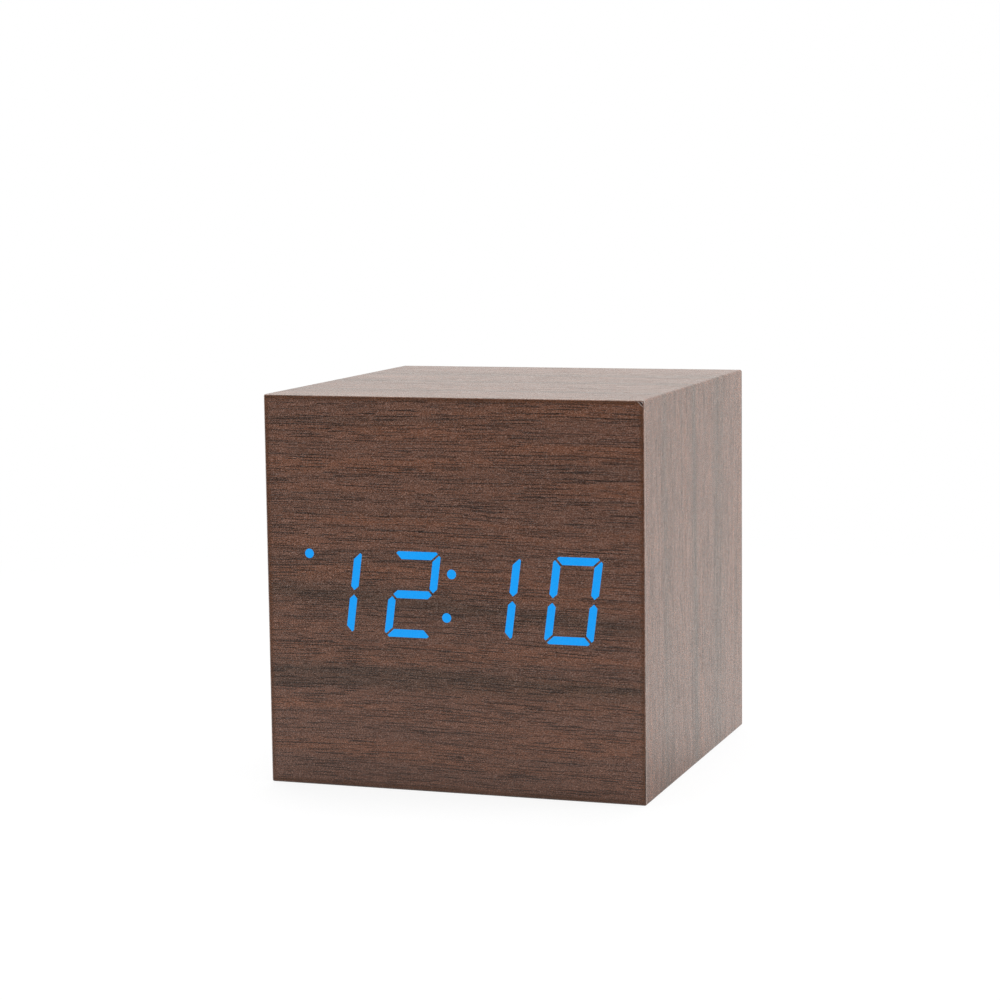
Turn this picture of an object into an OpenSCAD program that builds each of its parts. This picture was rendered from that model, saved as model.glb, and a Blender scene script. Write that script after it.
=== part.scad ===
// LED cube alarm clock: a wood-grain box whose front glows with the time.
// Millimetres. The origin is the middle of the base, +Z is up and the display faces -Y.

/* [Case] */
// Width of the cube
case_w = 62; // [61:0.5:90]
// Depth of the cube, front to back
case_d = 62; // [60:0.5:90]
// Height of the cube
case_h = 62; // [59:0.5:90]
// Thickness of the six mitred boards
board_t = 4.5; // [3.75:0.25:4.75]
// Thickness of the wood-grain film
film_t = 0.25; // [0.15:0.05:0.35]
// Radius of the film where it folds round the box
fold_r = 0.4; // [0.3:0.05:0.5]
// Bevel of the film along the front and back rims
rim_bevel = 0.22; // [0.05:0.01:0.3]

/* [Display] */
// Digits shown, left to right
shown_digits = [1, 2, 1, 0]; // [0:1:9]
// Height of the display's middle above the base
display_z = 31.1; // [29:0.1:34]
// Width of a digit over its strokes
digit_w = 7.9; // [7:0.1:8.1]
// Height of a digit over its strokes
digit_h = 13.55; // [11:0.05:14.5]
// Width of a stroke
stroke_w = 1.25; // [0.9:0.05:1.5]
// Gap between neighbouring strokes
stroke_gap = 0.35; // [0.2:0.05:0.5]
// Lean of the digits to the right, in degrees
digit_lean = 7.5; // [0:0.1:9]
// Corner cut off a digit's outline
digit_corner = 0.8; // [0.5:0.05:1]
// Diameter of the colon and alarm dots
dot_d = 1.5; // [1:0.05:1.8]
// Distance between the two dots of the colon
colon_pitch = 6.85; // [5:0.05:8]
// Sideways place of the colon
colon_x = -0.5; // [-1:0.1:1]
// Distance of the alarm dot from the end of the reflector
alarm_inset = 1.75; // [1.5:0.05:2.5]
// Height of the alarm dot above the middle of the display
alarm_dz = 5.9; // [4:0.1:6]

/* [Display board] */
// Depth of the pocket behind the front that takes the reflector
pocket_depth = 2.2; // [1.5:0.1:2.6]
// Thickness of the white diffuser sheet
diffuser_t = 0.2; // [0.1:0.05:0.4]
// Depth of the reflector block
reflector_t = 6.8; // [5:0.1:9]
// Depth of the narrow front part of its light wells
well_front_t = 2.5; // [1.5:0.1:3.5]
// Widening of the wells behind that, on each side
well_grow = 0.25; // [0.15:0.05:0.3]
// Wall round the outermost wells
reflector_wall = 0.75; // [0.5:0.05:1]
// Clearance of the reflector to the side boards
reflector_clear = 0.775; // [0.4:0.025:2]
// Diameter of the reflector's screw posts
post_d = 5; // [4:0.1:6]
// Distance of the screw posts from the ends of the reflector
post_inset = 5.5; // [3:0.5:8]
// Height of the display board
display_pcb_h = 26.4; // [25:0.2:28]
// Thickness of both circuit boards
pcb_t = 1.6; // [1:0.1:2]
// Length of an LED chip
led_l = 2; // [1.6:0.1:2.2]
// Width of an LED chip
led_w = 1.25; // [0.8:0.05:1.3]
// Side of the small LED chip behind a dot
dot_led_w = 0.9; // [0.6:0.05:1]
// Height of an LED chip
led_t = 0.75; // [0.5:0.05:1.2]

/* [Control board] */
// Width of the control board
control_w = 44; // [42:0.5:48]
// Height of the control board's lower edge above the base
control_z = 19.5; // [18.5:0.1:20]
// Space between the control board and the top
control_clear = 3.75; // [2:0.25:6]
// Width of the ribbon cable
ribbon_w = 12.7; // [8:0.1:13]
// Thickness of the ribbon cable
ribbon_t = 0.9; // [0.5:0.1:1.2]
// Height at which the ribbon leaves both boards
ribbon_z = 33; // [31.5:0.5:34]
// Sideways place of the ribbon
ribbon_x = 10; // [9.5:0.5:14]
// Radius of the ribbon's bend behind each header
ribbon_bend_r = 6; // [4:0.5:7]
// Turn of the ribbon out of each header, in degrees
ribbon_turn = 50; // [35:1:60]
// Height of a ribbon header above its board
header_t = 3; // [2:0.1:4]

/* [Buttons] */
// Diameter of a button cap
cap_d = 5; // [4:0.1:6]
// Radial clearance of a cap in its bore
cap_clear = 0.1; // [0.05:0.01:0.2]
// How far a cap stands out of the back
cap_proud = 0.8; // [0.6:0.05:0.9]
// Travel of a button
button_travel = 0.5; // [0.2:0.05:0.55]
// Distance between the buttons
button_pitch = 12; // [9:0.5:13]
// Height of the buttons above the base
button_z = 44; // [42:0.5:46]
// Height of a tact switch with its plunger
switch_h = 5; // [4.5:0.1:6]

/* [Power socket] */
// Diameter of the plug's barrel
plug_d = 3.5; // [3:0.1:4.5]
// Diameter of the centre pin
plug_pin_d = 1.3; // [1:0.05:1.6]
// Depth of the socket
plug_depth = 9.5; // [7:0.5:10]
// Diameter of the socket's nose
nose_d = 7.6; // [6.5:0.1:9]
// Height of the socket above the base
socket_z = 27; // [26:0.5:28]

/* [Batteries] */
// Diameter of a cell
cell_d = 10.4; // [9.8:0.1:10.5]
// Length of a cell with its positive nub
cell_l = 44.5; // [43.5:0.1:44.9]
// Space between neighbouring cells
cell_gap = 0.8; // [0.6:0.1:0.9]
// Clearance of a cell in its trough
cell_clear = 0.15; // [0.05:0.05:0.25]
// Wall of the battery tray
tray_wall = 1.2; // [1:0.1:1.4]
// Thickness of a contact plate
plate_t = 0.4; // [0.2:0.05:0.5]
// Length of a contact spring with a cell in place
spring_l = 2.8; // [2.4:0.1:3]
// Wire of a contact spring
spring_wire = 0.55; // [0.4:0.05:0.6]
// Turns of a contact spring
spring_turns = 2.25; // [1.5:0.25:2.5]

/* [Battery door] */
// Recess of the tray and its door above the surface that the clock stands on
base_recess = 0.3; // [0.1:0.05:0.5]
// Thickness of the tray's flange
flange_t = 2.4; // [2.3:0.1:2.6]
// Thickness of the door
door_t = 1.5; // [1.4:0.1:1.6]
// Clearance round the door
door_clear = 0.15; // [0.1:0.05:0.25]
// Width of the ledge that the door closes against
ledge_w = 0.8; // [0.6:0.1:1]
// Length of the door's tabs beyond its edge
tab_l = 1.1; // [0.8:0.1:1.2]
// Width of the door's latch tongue
latch_w = 12; // [8:0.5:16]

/* [Hidden] */
$fn = 48;
// Overshoot of a cut past a face
cut = 1;
// How far two shapes of one piece reach into each other
weld = 0.1;

// Inside of the box
in_x = case_w / 2 - film_t - board_t;
in_y = case_d / 2 - film_t - board_t;
floor_z = film_t + board_t;
front_y = -case_d / 2;
back_y = case_d / 2;

// Screws: self-tapping, with a pilot hole a little wider than the shank
screw_d = 1.8;
screw_head_d = 3.4;
screw_head_t = 1;
pilot_clear = 0.03;
screw_bite = 2.1;
screw_slack = 0.2;

// Digits: the segments that each one lights. Wells that widen also stand a little further apart
digit_count = len(shown_digits);
well_wall_share = 0.3;
SEGMENTS = "abcdefg";
LIT = ["abcdef", "bc", "abdeg", "abcdg", "bcfg", "acdfg", "acdefg", "abc", "abcdefg", "abcdfg"];
lean = tan(digit_lean);

// Display stack, from the pocket's floor back to the display board
pocket_y = front_y + film_t + board_t - pocket_depth;
reflector_y = pocket_y + diffuser_t;
display_pcb_y = reflector_y + reflector_t;
display_back_y = display_pcb_y + pcb_t;
pocket_clear = 0.2;
reflector_w = 2 * (in_x - reflector_clear);
digit_reach = digit_w / 2 + well_grow + lean * (digit_h / 2 + well_grow);
digit_pitch = (reflector_w - 2 * reflector_wall - 2 * digit_reach) / (digit_count - 1);
alarm_x = alarm_inset - reflector_w / 2;
post_x = reflector_w / 2 - post_inset;
reflector_h = digit_h + 2 * (well_grow + reflector_wall);
post_z = reflector_h / 2 + post_d / 2 - weld;
post_hole_d = screw_d + 2 * screw_slack;
side_clear = 0.25;
driver_size = [12.8, 7.5, 2.3];
driver_x = -8;

// Control board, held off the back by what the buttons and switches need
flange_cap_t = 0.8;
flange_cap_d = cap_d + 2;
cap_gap = 0.05;
cap_round = 0.5;
cap_foot_y = in_y - cap_gap - flange_cap_t;
control_back_y = cap_foot_y - switch_h;
control_front_y = control_back_y - pcb_t;
control_h = case_h - floor_z - control_clear - control_z;
control_screw_inset = 3.5;
control_screw_rise = 7.5;
control_screw_drop = 3;
control_screw_x = control_w / 2 - control_screw_inset;
control_screw_z = [control_z + control_screw_rise, control_z + control_h - control_screw_drop];
spacer_d = 5;
button_x = [-button_pitch, 0, button_pitch];
header_end = 1.2;
header_w = 5;
header_size = [ribbon_w + 2 * header_end, header_w];

// Tact switches: a square body with a bore that guides the plunger
switch_w = 6;
plunger_d = 3.5;
plunger_stand = 1.5;
plunger_in = 0.3;
plunger_clear = 0.1;
bore_floor = 0.1;
cover_t = 0.3;
switch_leg_z = 2.25;
switch_leg_w = 0.7;
switch_leg_reach = 1.4;

// Parts on the control board: sizes, and [x, z] places measured from its edges and screws
chip_size = [13, 7.5, 2.3];
chip_inset = 5.4;
chip_rise = 21.8;
chip_place = [control_w / 2 - chip_inset - chip_size[0] / 2, control_z + chip_rise];
crystal_d = 2;
crystal_l = 6;
crystal_rise = 4.7;
crystal_place = [chip_place[0], control_z + crystal_rise];
coin_d = 12.5;
coin_t = 2;
coin_rim = 1;
coin_floor = 0.8;
coin_side = 9.5;
coin_rise = 17;
coin_place = [coin_side - control_screw_x, control_z + coin_rise];
buzzer_d = 9;
buzzer_t = 4.5;
buzzer_hole_d = 2;
buzzer_side = 6.3;
buzzer_rise = 12.3;
buzzer_place = [control_screw_x - buzzer_side, control_z + buzzer_rise];
mic_d = 6;
mic_t = 5.2;
mic_hole_d = 1.5;
mic_side = 6.5;
mic_place = [mic_side - control_screw_x, control_z + buzzer_rise];
thermistor_d = 2.4;
thermistor_t = 3;
thermistor_rise = 18.5;
thermistor_place = [-control_screw_x, control_z + thermistor_rise];

// Leads of a chip: a foot on the board and a riser into the body's side
lead_pitch = 1.27;
chip_lead_w = 0.42;
chip_lead_t = 0.2;
chip_lead_reach = 1.3;
chip_lead_z = 1.1;
chip_gap = 0.1;
chip_bevel = 0.35;

// Power socket: a block on the board with a nose that ends just inside the back
socket_block = [9, 9, 4];
nose_clear = 0.2;
nose_recess = 0.4;
plug_clear = 0.05;
mouth_flare = 0.5;
pin_recess = 1;
nose_y = back_y - nose_recess;

// Battery tray
cell_pitch = cell_d + cell_gap;
tray_margin = 3;
cell_count = 2 * floor((2 * (in_x - tray_margin) + cell_gap) / (2 * cell_pitch));
trough_r = cell_d / 2 + cell_clear;
tray_in_w = (cell_count - 1) * cell_pitch + 2 * trough_r;
cell_play = 0.1;
tray_in_l = cell_l + 2 * plate_t + spring_l + cell_play;
tray_w = tray_in_w + 2 * tray_wall;
tray_l = tray_in_l + 2 * tray_wall;
tray_clear = 0.2;
flange_z = base_recess + flange_t;
cell_lift = 0.2;
cell_z = flange_z + cell_lift + cell_d / 2;
mouth_w = tray_in_w + 2 * ledge_w;
mouth_l = tray_in_l + 2 * ledge_w;
mouth_r = 1;
screw_land = 2.15;
screw_row_inset = 7.9;
tray_screw_x = mouth_w / 2 + screw_land;
tray_screw_y = mouth_l / 2 - screw_row_inset;
flange_margin = 1.5;
flange_reach = 2.6;
flange_w = 2 * (tray_screw_x + screw_head_d / 2 + flange_margin);
flange_l = mouth_l + 2 * flange_reach;
flange_r = 2;
screw_sink = 0.1;
tray_screw_z = base_recess + screw_sink + screw_head_t;
tray_screw_tip = 0.5;
cross_l = 2;
cross_w = 0.5;

// Contacts: cells alternate, and single plates with tags sit at the back end
plate_r = 4.5;
strip_h = 4;
nub_d = 3.8;
nub_l = 0.8;
cell_neck = 0.4;
tag_w = 2.5;
tag_rise = 1.6;
spring_base_r = 3.3;
spring_tip_r = 1.9;
spring_gap = 0.03;
spring_steps = 12;
spring_sides = 6;

// Battery door: it rocks out on two tabs at its front edge
door_seat = 0.1;
skin_t = 0.6;
tab_w = 7;
tab_x = 12;
tab_slack = 0.2;
tab_z = base_recess + skin_t + door_seat;
axis_y = -mouth_l / 2;
axis_z = base_recess + skin_t;
door_heel = axis_y + skin_t + door_clear;
rib_w = 1.2;
rib_h = 2.4;
rib_l = 36;
latch_slit = 0.6;
latch_l = 9;
grip_l = 6;
grip_depth = 0.5;
grip_count = 4;
grip_side = 1;
grip_start = 2.75;
nail_r = 1.6;
nail_depth = 0.8;

// Battery leads: points of the route as [y, z], level from the tag to the control board and then in a bow
// up to its pad. The bow's points are given as [share of the bow, share of the rise]
lead_d = 1.3;
lead_sides = 8;
lead_steps = 3;
tag_y = tray_in_l / 2 - plate_t;
lead_x = (cell_count - 1) / 2 * cell_pitch;
tag_top = cell_z + trough_r + tray_wall + tag_rise;
lead_z = tag_top - lead_d / 2;
pad_rise = 2.7;
pad_z = control_z + pad_rise;
lead_bow = 3;
lead_bow_shape = [[0.8, 0.25], [1, 0.6], [0.8, 0.9], [0.4, 1], [0, 1]];
lead_points = [
    [tag_y, lead_z], [tag_y - lead_d, lead_z], [(tag_y + control_front_y) / 2, lead_z],
    [control_front_y, lead_z + lead_d / 4],
    for (p = lead_bow_shape) [control_front_y - p[0] * lead_bow, lead_z + p[1] * (pad_z - lead_z)],
];

// Colours
mdf = "#b08a5e";
wood_film = "#5f463d";
glow = "#219eff";
board_green = "#1f5b3a";
nickel = "#c9c7c0";
black_plastic = "#1c1c1d";

// Plane and solid helpers

// A rectangle with true round corners, centred
module rounded_rect(w, l, r) {
    square([w - 2 * r, l], center = true);
    square([w, l - 2 * r], center = true);
    for (x = [-1, 1], y = [-1, 1])
        translate([x * (w / 2 - r), y * (l / 2 - r)]) circle(r);
}

// A rectangle with bevelled corners, centred
module bevelled_rect(w, l, b) {
    polygon([for (s = [[1, 1], [-1, 1], [-1, -1], [1, -1]], swap = s[0] * s[1] > 0 ? [0, 1] : [1, 0])
        [s[0] * (w / 2 - (swap == 0 ? 0 : b)), s[1] * (l / 2 - (swap == 0 ? b : 0))]]);
}

// Children drawn in x and z, made solid from y = y0 to y = y0 + depth
module face_solid(y0, depth) {
    translate([0, y0 + depth, 0]) rotate([90, 0, 0]) linear_extrude(depth) children();
}

// A round bar along Y, from y = y0 to y = y0 + length
module bar_y(x, z, y0, length, d) {
    translate([x, y0 + length, z]) rotate([90, 0, 0]) cylinder(d = d, h = length);
}

// A block on a board that faces along Y: it is drawn by its middle in x and z
module block_y(place, y0, size) {
    translate([place[0] - size[0] / 2, y0, place[1] - size[1] / 2]) cube([size[0], size[2], size[1]]);
}

// A board of the box, outer face down on z = 0, with all four edges mitred at 45 degrees
module mitred_board(w, l) {
    intersection() {
        rotate([90, 0, 0]) linear_extrude(l, center = true) mitred_edge(w);
        rotate([90, 0, 90]) linear_extrude(w, center = true) mitred_edge(l);
    }
}

module mitred_edge(w) {
    polygon([[-w / 2, 0], [w / 2, 0], [w / 2 - board_t, board_t], [board_t - w / 2, board_t]]);
}

// Digits

function flip_x(points) = [for (p = points) [-p[0], p[1]]];
function flip_z(points) = [for (p = points) [p[0], -p[1]]];
function leaned(points) = [for (p = points) [p[0] + p[1] * lean, p[1]]];
function is_lit(digit, segment) = len(search(SEGMENTS[segment], LIT[digit])) > 0;

// Outer strokes are trapezia with a blunt tip. hw and hh are half the digit, s its stroke, c its corner
// and m half the gap between strokes, measured along the digit's edges
function top_stroke(hw, hh, s, c, m) = let (t = (c - m) / 2) [
    [c - hw, hh], [hw - c, hh], [hw - m - t, hh - t],
    [hw - m - s, hh - s], [m + s - hw, hh - s], [m + t - hw, hh - t],
];
function side_stroke(hw, hh, s, c, m) = let (t = (c - m) / 2, g = m * sqrt(2)) [
    [hw, hh - c], [hw, g + s / 2], [hw - s / 2, g],
    [hw - s, g + s / 2], [hw - s, hh - s - m], [hw - t, hh - t - m],
];
function middle_stroke(hw, s, m) = let (tip = hw - s / 2 - (2 - sqrt(2)) * m) [
    [tip, 0], [tip - s / 2, s / 2], [s / 2 - tip, s / 2],
    [-tip, 0], [s / 2 - tip, -s / 2], [tip - s / 2, -s / 2],
];
function stroke_points(segment, grow) = let (
    hw = digit_w / 2 + grow, hh = digit_h / 2 + grow, s = stroke_w + 2 * grow, c = digit_corner + grow,
    m = (stroke_gap + grow * well_wall_share) / sqrt(2),
    top = top_stroke(hw, hh, s, c, m), side = side_stroke(hw, hh, s, c, m)
) leaned([top, side, flip_z(side), flip_z(top), flip_z(flip_x(side)), flip_x(side),
    middle_stroke(hw, s, m)][segment]);

// Middle of each stroke, before the lean
function stroke_middle(segment) = let (
    x = digit_w / 2 - stroke_w / 2, z = digit_h / 2 - stroke_w / 2
) [[0, z], [x, z / 2], [x, -z / 2], [0, -z], [-x, -z / 2], [-x, z / 2], [0, 0]][segment];
function is_flat(segment) = segment % 3 == 0;
function digit_x(i) = (i - (digit_count - 1) / 2) * digit_pitch;
dot_places = [
    [colon_x + colon_pitch / 2 * lean, colon_pitch / 2],
    [colon_x - colon_pitch / 2 * lean, -colon_pitch / 2],
    [alarm_x, alarm_dz],
];

// Strokes of every digit, or only the lit ones, and the dots, in x and z
module strokes(grow = 0, lit_only = false) {
    translate([0, display_z]) {
        for (i = [0:digit_count - 1], segment = [0:len(SEGMENTS) - 1])
            if (!lit_only || is_lit(shown_digits[i], segment))
                translate([digit_x(i), 0]) polygon(stroke_points(segment, grow));
        for (place = dot_places)
            translate(place) circle(d = dot_d);
    }
}

// Wooden box

// The outside of the film: folded edges are round, the front and back rims bevelled
module case_outline() {
    intersection() {
        translate([0, 0, case_h / 2]) rotate([90, 0, 0])
            linear_extrude(case_d, center = true) rounded_rect(case_w, case_h, fold_r);
        translate([0, 0, case_h / 2]) rotate([90, 0, 90])
            linear_extrude(case_w, center = true) bevelled_rect(case_d, case_h, rim_bevel);
        linear_extrude(case_h) bevelled_rect(case_w, case_d, rim_bevel);
    }
}

// Cuts that the battery tray and the display need in the boards
module tray_cut() {
    translate([0, 0, -cut]) linear_extrude(cut + flange_z)
        rounded_rect(flange_w + 2 * tray_clear, flange_l + 2 * tray_clear, flange_r);
}

module tray_opening() {
    translate([0, 0, floor_z / 2])
        cube([tray_w + 2 * tray_clear, tray_l + 2 * tray_clear, floor_z + 2 * cut], center = true);
}

module tray_screw_places() {
    for (x = [-tray_screw_x, tray_screw_x], y = [-tray_screw_y, tray_screw_y])
        translate([x, y, 0]) children();
}

module display_screw_places() {
    for (x = [-post_x, post_x], z = [-post_z, post_z])
        translate([x, 0, display_z + z]) children();
}

module control_screw_places() {
    for (x = [-control_screw_x, control_screw_x], z = control_screw_z)
        translate([x, 0, z]) children();
}

// Holes of the back: button bores, socket, microphone and buzzer, from y = y0 outwards
module back_holes(y0) {
    depth = back_y - y0 + cut;
    for (x = button_x)
        bar_y(x, button_z, y0, depth, cap_d + 2 * cap_clear);
    bar_y(0, socket_z, y0, depth, nose_d + 2 * nose_clear);
    bar_y(mic_place[0], mic_place[1], y0, depth, mic_hole_d);
    bar_y(buzzer_place[0], buzzer_place[1], y0, depth, buzzer_hole_d);
}

module top_board() color(mdf)
    translate([0, 0, case_h - film_t]) rotate([180, 0, 0])
        mitred_board(case_w - 2 * film_t, case_d - 2 * film_t);

module bottom_board() color(mdf)
    difference() {
        translate([0, 0, film_t]) mitred_board(case_w - 2 * film_t, case_d - 2 * film_t);
        tray_cut();
        tray_opening();
        tray_screw_places() translate([0, 0, -cut])
            cylinder(d = screw_d + 2 * pilot_clear, h = floor_z + 2 * cut);
    }

module side_board(side) color(mdf)
    difference() {
        translate([side * (case_w / 2 - film_t), 0, case_h / 2]) rotate([0, -side * 90, 0])
            mitred_board(case_h - 2 * film_t, case_d - 2 * film_t);
        tray_cut();
    }

module front_board() color(mdf)
    difference() {
        translate([0, front_y + film_t, case_h / 2]) rotate([-90, 0, 0])
            mitred_board(case_w - 2 * film_t, case_h - 2 * film_t);
        tray_cut();
        face_solid(front_y, case_d / 4) strokes();
        face_solid(pocket_y, pocket_depth + cut) translate([0, display_z])
            square([reflector_w + 2 * pocket_clear, reflector_h + 2 * pocket_clear], center = true);
        display_screw_places()
            bar_y(0, 0, -in_y - screw_bite - screw_slack, screw_bite + screw_slack + cut,
                screw_d + 2 * pilot_clear);
    }

module back_board() color(mdf)
    difference() {
        translate([0, back_y - film_t, case_h / 2]) rotate([90, 0, 0])
            mitred_board(case_w - 2 * film_t, case_h - 2 * film_t);
        tray_cut();
        back_holes(in_y - cut);
        control_screw_places()
            bar_y(0, 0, in_y - cut, cut + screw_bite + screw_slack, screw_d + 2 * pilot_clear);
    }

// One strip of film folded over the left, top and right boards
module side_veneer() color(wood_film)
    difference() {
        case_outline();
        translate([0, 0, case_h / 2])
            cube([case_w - 2 * film_t, case_d + 2 * cut, case_h - 2 * film_t], center = true);
        translate([0, 0, film_t / 2])
            cube([case_w - 2 * film_t, case_d + 2 * cut, 2 * film_t], center = true);
    }

module bottom_veneer() color(wood_film)
    difference() {
        intersection() {
            case_outline();
            translate([0, 0, film_t / 2])
                cube([case_w - 2 * film_t, case_d + 2 * cut, film_t], center = true);
        }
        tray_cut();
    }

// A flat sheet of film on the front or the back, inside the rims of the folded strip
module face_film(y0) {
    intersection() {
        case_outline();
        face_solid(y0, film_t) translate([0, case_h / 2])
            square([case_w - 2 * film_t, case_h - 2 * film_t], center = true);
    }
}

module front_veneer() color(wood_film)
    difference() {
        face_film(front_y);
        face_solid(front_y - cut, film_t + 2 * cut) strokes(lit_only = true);
    }

module back_veneer() color(wood_film)
    difference() {
        face_film(back_y - film_t);
        back_holes(in_y);
    }

// Display

// The patches of the front film that the LEDs light up
module lit_segments() color(glow)
    face_solid(front_y, film_t) strokes(lit_only = true);

module reflector_outline() {
    translate([0, display_z]) square([reflector_w, reflector_h], center = true);
}

module diffuser_sheet() color("white")
    face_solid(pocket_y, diffuser_t) reflector_outline();

module reflector_block() color("#f0efe9")
    difference() {
        union() {
            face_solid(reflector_y, reflector_t) reflector_outline();
            display_screw_places() bar_y(0, 0, -in_y, display_pcb_y + in_y, post_d);
        }
        face_solid(reflector_y - cut, well_front_t + 2 * cut) strokes();
        face_solid(reflector_y + well_front_t, reflector_t) strokes(well_grow);
        display_screw_places() bar_y(0, 0, -in_y - cut, reflector_t + board_t, post_hole_d);
    }

module segment_leds() color("#dfe6c8")
    translate([0, display_pcb_y - led_t, display_z]) {
        for (i = [0:digit_count - 1], segment = [0:len(SEGMENTS) - 1])
            let (place = stroke_middle(segment), flat = is_flat(segment))
                block_y([digit_x(i) + place[0] + place[1] * lean, place[1]], 0,
                    [flat ? led_l : led_w, flat ? led_w : led_l, led_t]);
        for (place = dot_places)
            block_y(place, 0, [dot_led_w, dot_led_w, led_t]);
    }

module display_pcb() color(board_green)
    difference() {
        face_solid(display_pcb_y, pcb_t) translate([0, display_z])
            square([2 * (in_x - side_clear), display_pcb_h], center = true);
        display_screw_places() bar_y(0, 0, display_pcb_y - cut, pcb_t + 2 * cut, post_hole_d);
    }

// A chip on a board at y = y0 that faces along side (1 is +Y): a bevelled body and two rows of leads
module chip(place, y0, side, size) {
    leads = floor((size[0] - chip_lead_w) / lead_pitch);
    half = size[1] / 2;
    top = size[2] - chip_gap;
    translate([place[0], y0, place[1]]) rotate([-side * 90, 0, 0]) {
        translate([0, 0, chip_gap]) rotate([90, 0, 90]) linear_extrude(size[0], center = true)
            polygon([[-half, 0], [half, 0], [half, top - chip_bevel], [half - chip_bevel, top],
                [chip_bevel - half, top], [-half, top - chip_bevel]]);
        for (i = [0:leads - 1], turn = [0, 180])
            rotate([0, 0, turn]) translate([(i - (leads - 1) / 2) * lead_pitch, half, 0])
                chip_lead();
    }
}

// One lead, from the side of the body down to its foot
module chip_lead() {
    knee = chip_lead_reach / 2;
    rotate([90, 0, 90]) linear_extrude(chip_lead_w, center = true)
        polygon([[0, chip_lead_z], [knee, chip_lead_z], [knee, chip_lead_t],
            [chip_lead_reach, chip_lead_t], [chip_lead_reach, 0], [knee - chip_lead_t, 0],
            [knee - chip_lead_t, chip_lead_z - chip_lead_t], [0, chip_lead_z - chip_lead_t]]);
}

module led_driver_chip() color("#26262a")
    chip([driver_x, display_z], display_back_y, 1, driver_size);

// A pan-head screw along -Y, its head resting on y = y0
module screw_to_front(y0, length) {
    bar_y(0, 0, y0, screw_head_t, screw_head_d);
    bar_y(0, 0, y0 - length, length, screw_d);
}

module display_screws() color(nickel)
    display_screw_places() screw_to_front(display_back_y, display_back_y + in_y + screw_bite);

module ribbon_headers() color("#e9e6da") {
    block_y([ribbon_x, ribbon_z], display_back_y, [header_size[0], header_size[1], header_t]);
    block_y([ribbon_x, ribbon_z], control_front_y - header_t, [header_size[0], header_size[1], header_t]);
}

// The ribbon hangs between the headers: a bend down, a wide bend up and a bend level again
ribbon_half = (control_front_y - display_back_y - 2 * header_t) / 2;
ribbon_middle = (control_front_y + display_back_y) / 2;
ribbon_sag_r = ribbon_half / sin(ribbon_turn) - ribbon_bend_r;

ribbon_sag_z = ribbon_sag_r * cos(ribbon_turn) - ribbon_bend_r * (1 - cos(ribbon_turn));
ribbon_steps = 8;

// Points of one face of the ribbon, off to one side of its middle line
function ribbon_face(off) = [
    for (i = [0:ribbon_steps]) let (a = ribbon_turn * i / ribbon_steps)
        [(ribbon_bend_r + off) * sin(a) - ribbon_half, (ribbon_bend_r + off) * cos(a) - ribbon_bend_r],
    for (i = [1:2 * ribbon_steps - 1]) let (a = ribbon_turn * (i / ribbon_steps - 1))
        [(ribbon_sag_r - off) * sin(a), ribbon_sag_z - (ribbon_sag_r - off) * cos(a)],
    for (i = [ribbon_steps:-1:0]) let (a = ribbon_turn * i / ribbon_steps)
        [ribbon_half - (ribbon_bend_r + off) * sin(a), (ribbon_bend_r + off) * cos(a) - ribbon_bend_r],
];

module display_ribbon() color("#9aa0a8")
    translate([ribbon_x, ribbon_middle, ribbon_z]) rotate([90, 0, 90])
        linear_extrude(ribbon_w, center = true) {
            lower = ribbon_face(-ribbon_t / 2);
            polygon(concat(ribbon_face(ribbon_t / 2), [for (i = [len(lower) - 1:-1:0]) lower[i]]));
        }

// Control board and what it carries

module control_pcb() color(board_green)
    difference() {
        face_solid(control_front_y, pcb_t)
            translate([-control_w / 2, control_z]) square([control_w, control_h]);
        control_screw_places() bar_y(0, 0, control_front_y - cut, pcb_t + 2 * cut, post_hole_d);
    }

module clock_chip() color("#26262a")
    chip(chip_place, control_front_y, -1, chip_size);

module quartz_crystal() color(nickel)
    translate([crystal_place[0] - crystal_l / 2, control_front_y - crystal_d / 2, crystal_place[1]])
        rotate([0, 90, 0]) cylinder(d = crystal_d, h = crystal_l);

module backup_cell_holder() color("#3a3a3c")
    difference() {
        bar_y(coin_place[0], coin_place[1], control_front_y - coin_t, coin_t, coin_d + 2 * coin_rim);
        bar_y(coin_place[0], coin_place[1], control_front_y - coin_t - cut, coin_t + cut - coin_floor,
            coin_d + 2 * cell_clear);
    }

module backup_cell() color(nickel)
    bar_y(coin_place[0], coin_place[1], control_front_y - coin_t - coin_floor, coin_t, coin_d);

module buzzer() color(black_plastic)
    difference() {
        bar_y(buzzer_place[0], buzzer_place[1], control_back_y, buzzer_t, buzzer_d);
        bar_y(buzzer_place[0], buzzer_place[1], control_back_y + buzzer_t / 2, buzzer_t, buzzer_hole_d);
    }

module microphone() color("#8f9092")
    difference() {
        bar_y(mic_place[0], mic_place[1], control_back_y, mic_t, mic_d);
        bar_y(mic_place[0], mic_place[1], control_back_y + mic_t / 2, mic_t, mic_hole_d);
    }

module thermistor() color("#2f5d8a")
    bar_y(thermistor_place[0], thermistor_place[1], control_back_y, thermistor_t, thermistor_d);

switch_body_h = switch_h - plunger_stand;
plunger_y = control_back_y + switch_body_h - plunger_in;

module tact_switches() color("#2b2b2e")
    for (x = button_x) {
        difference() {
            union() {
                block_y([x, button_z], control_back_y, [switch_w, switch_w, switch_body_h - cover_t]);
                block_y([x, button_z], control_back_y,
                    [switch_w - 2 * cover_t, switch_w - 2 * cover_t, switch_body_h]);
            }
            bar_y(x, button_z, plunger_y - button_travel - bore_floor, switch_h,
                plunger_d + 2 * plunger_clear);
        }
        for (side = [-1, 1], z = [-switch_leg_z, switch_leg_z])
            block_y([x + side * (switch_w + switch_leg_reach) / 2, button_z + z], control_back_y,
                [switch_leg_reach, switch_leg_w, switch_leg_w]);
    }

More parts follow.
